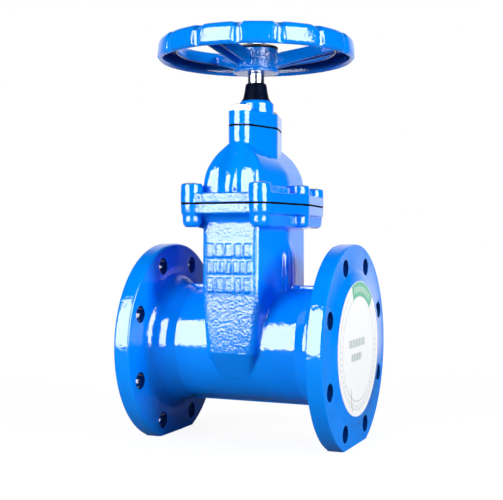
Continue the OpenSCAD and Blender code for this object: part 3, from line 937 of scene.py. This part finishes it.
# %% Turn the stem
stem_low, stem_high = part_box("stem")
stem_base, stem_top = stem_low.z / MM, stem_high.z / MM
collar_top = bonnet_high.z / MM + 0.6
hub_bottom = hub_low.z / MM
hub_top = washer_low.z / MM
LIFT_THREAD = (5.0, 1.8)  # pitch and depth, in mm
TOP_THREAD = (1.5, 0.85)
LIFT_STEP = 0.9           # how far apart the profile's points are on each thread, in mm
TOP_STEP = 0.25


def thread(pitch, depth, low, high):
    """Radius rule that cuts a thread between two heights."""
    def rule(r, z, angle):
        if z < low or z > high:
            return r, z
        turn = (z / pitch - angle / (2 * math.pi)) % 1.0
        return r - depth * (1 - min(1.0, 2.2 * min(turn, 1 - turn) * 2)), z
    return rule


def stem_shape():
    lift_top = collar_top - 10
    low_rule = thread(*LIFT_THREAD, stem_base + 2, lift_top - 4)
    top_rule = thread(*TOP_THREAD, hub_top + 1, stem_top - 0.9)
    profile = [(0, stem_base), (9.6, stem_base), (11, stem_base + 1.6)]
    steps = int((lift_top - stem_base - 6) / LIFT_STEP)
    profile += [(11, stem_base + 2 + LIFT_STEP * i) for i in range(steps)]
    profile += [(11, lift_top), (16, lift_top + 0.6), (16, collar_top), (9, collar_top + 0.1),
                (9, hub_bottom - 0.9), (9, hub_bottom - 0.5), (8.4, hub_bottom - 0.1),
                (6.4, hub_bottom + 0.1), (6.4, hub_top - 1), (5, hub_top - 0.6)]
    steps = int((stem_top - 1.2 - hub_top) / TOP_STEP)
    profile += [(5, hub_top + TOP_STEP * i) for i in range(steps)]
    profile += [(5, stem_top - 0.8), (4.3, stem_top), (0, stem_top)]

    def both(r, z, angle):
        return low_rule(r, z, angle) if z < collar_top - 8 else top_rule(r, z, angle)
    return lathe(profile, 64, both)


stem_mesh = mesh_of(stem_shape(), "stem_turned", 35)
add_piece("stem_turned", stem_mesh, "handwheel", steel, ["stem"])

# %% [markdown]
# ## Geometry Nodes for what repeats
# Two gland bolts and six wax seals are each one shape set down at measured places. A small
# builder keeps the trees short: it makes the group with its named inputs, lets a function fill
# in the nodes, and ends in Realize Instances and Set Material.


# %% Tree builder
def repeated(name, places, material, inputs, fill):
    """Runs a tree on a cloud of points and returns the realized mesh."""
    tree = bpy.data.node_groups.new(name, "GeometryNodeTree")
    tree.interface.new_socket("Geometry", in_out="INPUT", socket_type="NodeSocketGeometry")
    tree.interface.new_socket("Geometry", in_out="OUTPUT", socket_type="NodeSocketGeometry")
    values = {}
    for title, (kind, value) in inputs.items():
        socket = tree.interface.new_socket(title, in_out="INPUT", socket_type=kind)
        values[socket.identifier] = value
    work = Finish(name, tree)
    given = [work.node("NodeGroupInput", out=i) for i in range(len(inputs) + 1)]
    spread = fill(work, given[0], dict(zip(inputs, given[1:])))
    real = work.node("GeometryNodeRealizeInstances", {}, {0: spread})
    dressed = work.node("GeometryNodeSetMaterial", {}, {"Geometry": real, "Material": material})
    work.node("NodeGroupOutput", {}, {0: dressed})
    cloud = bpy.data.meshes.new(name)
    cloud.from_pydata(places, [], [])
    mesh = with_modifiers(cloud, ("NODES", {"node_group": tree}, values))
    mesh.name = name
    mesh.set_sharp_from_angle(angle=math.radians(35))
    return mesh


# %% [markdown]
# ## Gland bolts
# Each is a hexagon bolt with a washer face, a chamfered head and a slightly dished top. One head
# is turned and set down on the two ears.

# %% Set the gland bolts
bolt_low, bolt_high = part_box("gland_bolt_front")
back_low, back_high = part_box("gland_bolt_back")
bolt_flats = min(bolt_high.x - bolt_low.x, bolt_high.y - bolt_low.y) / MM
HEAD_H = 7.0
WASHER_FACE = 0.7
head_base = bolt_high.z / MM - HEAD_H
shank_end = bolt_low.z / MM - head_base
bolt_profile = [(0, shank_end), (4.2, shank_end), (4.9, shank_end + 0.8), (4.9, 0.05),
                (bolt_flats / 2 * 0.93, 0.0),
                (bolt_flats / 2 * 0.93, WASHER_FACE * 0.7), (bolt_flats / 2, WASHER_FACE),
                (bolt_flats / 2, HEAD_H - 0.8), (bolt_flats / 2 * 0.92, HEAD_H), (6.2, HEAD_H),
                (5.0, HEAD_H - 0.35), (0, HEAD_H - 0.45)]
bolt_mesh = mesh_of(lathe(bolt_profile, 96, hexagon(bolt_flats)), "bolt")
bolt_object = bpy.data.objects.new("bolt", bolt_mesh)


def bolt_nodes(work, cloud, given):
    bolt = work.node("GeometryNodeObjectInfo", {}, {"Object": given["Bolt"]}, out=4)
    index = work.node("GeometryNodeInputIndex")
    angle = given["First turn"] + index * given["Turn between"]
    turned = work.node("ShaderNodeCombineXYZ", {}, {"Z": angle})
    return work.node("GeometryNodeInstanceOnPoints", {},
                     {"Points": cloud, "Instance": bolt, "Rotation": turned, "Scale": given["Size"]})


bolt_places = [(0, (bolt_low.y + bolt_high.y) / 2, head_base * MM),
               (0, (back_low.y + back_high.y) / 2, head_base * MM)]
bolt_inputs = {"Bolt": ("NodeSocketObject", bolt_object),
               "First turn": ("NodeSocketFloat", math.radians(28)),
               "Turn between": ("NodeSocketFloat", 0.0),
               "Size": ("NodeSocketFloat", 1.0)}
bolts = repeated("gland_bolts", bolt_places, zinc, bolt_inputs, bolt_nodes)
bpy.data.objects.remove(bolt_object)
add_piece("gland_bolts", bolts, "housing", zinc, ["gland_bolt_front", "gland_bolt_back"])

# %% [markdown]
# ## Wax seals
# The works fill each sunk screw with hot wax against rust. It sets as a low uneven dome that stands
# a little out of the boss.

# %% Pour the wax
screw_boxes = [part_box(f"bonnet_screw_{i}") for i in range(1, 7)]
boss_top = first_hit("bonnet", (corner_x, corner_y - 10.4, bonnet_high.z / MM), (0, 0, -1)).z


def wax_nodes(work, cloud, given):
    blob = work.node("GeometryNodeMeshUVSphere", {}, {"Segments": 32, "Rings": 14, "Radius": 1.0})
    place = work.node("GeometryNodeInputPosition")
    size = work.node("ShaderNodeCombineXYZ", {},
                     {0: given["Radius"], 1: given["Radius"], 2: given["Height"]})
    sized = work.node("ShaderNodeVectorMath", {"operation": "MULTIPLY"}, {0: place, 1: size})
    blob = work.node("GeometryNodeSetPosition", {}, {"Geometry": blob, "Position": sized})
    spread = work.node("GeometryNodeInstanceOnPoints", {}, {"Points": cloud, "Instance": blob})
    spread = work.node("GeometryNodeRealizeInstances", {}, {0: spread})
    place = work.node("GeometryNodeInputPosition")
    lump = work.noise(place, 160.0, 2.0) - 0.5
    height = work.node("ShaderNodeSeparateXYZ", {}, {0: place}, out=2)
    above = height.fade(boss_top * MM - 0.0005, boss_top * MM + 0.0005)
    lift = work.node("ShaderNodeCombineXYZ", {}, {2: lump * given["Lumps"] * above})
    return work.node("GeometryNodeSetPosition", {}, {"Geometry": spread, "Offset": lift})


wax_places = [((low.x + high.x) / 2, (low.y + high.y) / 2, boss_top * MM) for low, high in screw_boxes]
wax_inputs = {"Radius": ("NodeSocketFloat", 9.0 * MM),
              "Height": ("NodeSocketFloat", 1.3 * MM),
              "Lumps": ("NodeSocketFloat", 1.4 * MM)}
seals = repeated("wax_seals", wax_places, wax, wax_inputs, wax_nodes)
seals.shade_smooth()
add_piece("wax_seals", seals, "housing", wax)

# %% [markdown]
# ## The wedge
# Through the open port the rubber-covered gate shows at the end of the bore. A moulded bead runs
# round each face and seals against the body. The bead is turned, as it is round, and joined to a
# relaxed copy of the gate.

# %% Mould the wedge
WEDGE_FACE_X = 21.0  # mm
BEAD = [(44.2, -1.0), (45.2, 1.2), (46.6, 1.9), (48.0, 1.2), (48.8, -1.0)]


def bead_ring(side):
    """The sealing bead of one face, as a closed solid."""
    shape = lathe(BEAD, 96, closed=True)
    turn = Matrix.Rotation(side * math.pi / 2, 4, "Y")
    shape.transform(Matrix.Translation((side * WEDGE_FACE_X * MM, 0, pipe_z)) @ turn)
    return shape


wedge_shape = shape_of(cast_copy("wedge", 1.0 * MM, 5, 60000))
for side in (-1, 1):
    wedge_shape.from_mesh(mesh_of(bead_ring(side), "bead"))
wedge_mesh = mesh_of(wedge_shape, "wedge_moulding")
add_piece("wedge_moulding", wedge_mesh, "housing", wedge_rubber, ["wedge"])

# %% [markdown]
# ## Studio
# Two tall soft boxes make the bright strips on the coating. The boxes that show in the gloss are
# separate from the lamps that light the colour, so the colour stays at a plain level while the
# strips are bright.


# %% Boxes and lamps
def direction(azimuth, elevation=0.0):
    """A unit vector from the valve; azimuth 0 is towards -Y and 90 towards +X."""
    a, e = math.radians(azimuth), math.radians(elevation)
    return Vector((math.sin(a) * math.cos(e), -math.cos(a) * math.cos(e), math.sin(e)))


CAMERA_AZIMUTH = 22.97
BOX_DISTANCE = 1.7


def gloss_box(name, azimuth, width, low, high, strength):
    """An upright glowing panel that only shows in reflections."""
    middle = direction(azimuth) * BOX_DISTANCE
    side = Vector((-middle.y, middle.x, 0)).normalized() * width / 2
    turns = ((-1, low), (1, low), (1, high), (-1, high))
    corners = [middle + s * side + Vector((0, 0, h)) for s, h in turns]
    mesh = bpy.data.meshes.new(name)
    mesh.from_pydata([tuple(c) for c in corners], [], [(0, 1, 2, 3)])
    glow = Finish(name)
    light = glow.node("ShaderNodeEmission", {}, {"Strength": strength})
    glow.node("ShaderNodeOutputMaterial", {}, {"Surface": light})
    mesh.materials.append(glow.material)
    box = in_scene(name, mesh)
    box.visible_camera = box.visible_diffuse = box.visible_shadow = False
    box.visible_transmission = box.visible_volume_scatter = False


def lamp(name, azimuth, elevation, distance, size, power):
    """A soft area lamp that lights the colour and doesn't show in the gloss."""
    data = bpy.data.lights.new(name, "AREA")
    data.shape, data.size, data.energy = "DISK", size, power
    light = in_scene(name, data)
    middle = (cad_low + cad_high) / 2
    light.location = middle + direction(azimuth, elevation) * distance
    light.rotation_euler = (middle - light.location).to_track_quat("-Z", "Y").to_euler()
    light.visible_glossy = False


# %% Light the valve
BOX_TOP = 1.75
BOX_GLOW = 18
LAMP_DISTANCE = 2.2
gloss_box("box_left", CAMERA_AZIMUTH - 45, 1.30, 0.0, BOX_TOP, BOX_GLOW)
gloss_box("box_right", CAMERA_AZIMUTH + 43, 1.25, 0.0, BOX_TOP, BOX_GLOW)
lamp("lamp_left", CAMERA_AZIMUTH - 45, 8, LAMP_DISTANCE, 1.6, 58)
lamp("lamp_right", CAMERA_AZIMUTH + 57, 10, LAMP_DISTANCE, 0.9, 50)
lamp("lamp_top", CAMERA_AZIMUTH + 180, 60, LAMP_DISTANCE, 1.5, 14)
print("lit by", len(bpy.data.lights), "lamps")

# %% [markdown]
# ## Floor and room
# Both look plain white to the camera, and the floor keeps a faint shadow. In the gloss only the
# part behind the valve is white, since the front of a real studio is dark, and that dark part is
# what makes the curves of the coating readable.

# %% Lay the floor
FLOOR_HALF = 12.0
floor_corners = [(sx * FLOOR_HALF, sy * FLOOR_HALF, 0) for sx, sy in ((-1, -1), (1, -1), (1, 1), (-1, 1))]
floor_mesh = bpy.data.meshes.new("floor")
floor_mesh.from_pydata(floor_corners, [], [(0, 1, 2, 3)])
AWAY = tuple(-direction(CAMERA_AZIMUTH))
floor_paint = Finish("floor")
seen = floor_paint.node("ShaderNodeLightPath", out=0)
gloss = floor_paint.node("ShaderNodeLightPath", out=3)
where, _ = floor_paint.position()
away = floor_paint.node("ShaderNodeVectorMath", {"operation": "DOT_PRODUCT"}, {0: where, 1: AWAY}, out=1)
far = floor_paint.node("ShaderNodeVectorMath", {"operation": "LENGTH"}, {0: where}, out=1)
pale = floor_paint.node("ShaderNodeBsdfDiffuse", {}, {"Color": colour(0.12, 0.12, 0.12)})
bright = floor_paint.node("ShaderNodeEmission", {}, {"Strength": 1.0})
glow = floor_paint.node("ShaderNodeEmission", {}, {"Strength": far.fade(0.4, 2.0) * 0.08 + 0.92})
paper = floor_paint.node("ShaderNodeAddShader", {}, {0: pale, 1: glow})
dim = floor_paint.node("ShaderNodeBsdfDiffuse", {}, {"Color": colour(0.16, 0.16, 0.17)})
share = gloss * away.fade(0.3, 0.9) * (away / far).fade(0.62, 0.88)
mirrored = floor_paint.node("ShaderNodeMixShader", {}, {0: share, 1: dim, 2: bright})
mixed = floor_paint.node("ShaderNodeMixShader", {}, {0: seen, 1: mirrored, 2: paper})
floor_paint.node("ShaderNodeOutputMaterial", {}, {"Surface": mixed})
floor_mesh.materials.append(floor_paint.material)
floor = in_scene("floor", floor_mesh)
print("the floor is", 2 * FLOOR_HALF, "m wide")

# %% Paint the room
world = bpy.data.worlds.new("room")
world.use_nodes = True
bpy.context.scene.world = world
room = Finish("room", world.node_tree)
seen = room.node("ShaderNodeLightPath", out=0)
gloss = room.node("ShaderNodeLightPath", out=3)
towards = room.node("ShaderNodeTexCoord", out=0)
behind = room.node("ShaderNodeVectorMath", {"operation": "DOT_PRODUCT"}, {0: towards, 1: AWAY}, out=1)
wall = behind.fade(0.62, 0.88) + 0.005
level = (1 - gloss) * 0.10 + gloss * wall
level = (1 - seen) * level + seen
sky = room.node("ShaderNodeBackground", {}, {"Color": colour(1, 1, 1), "Strength": level})
room.node("ShaderNodeOutputWorld", {}, {"Surface": sky})
print("the room has", len(world.node_tree.nodes), "nodes")
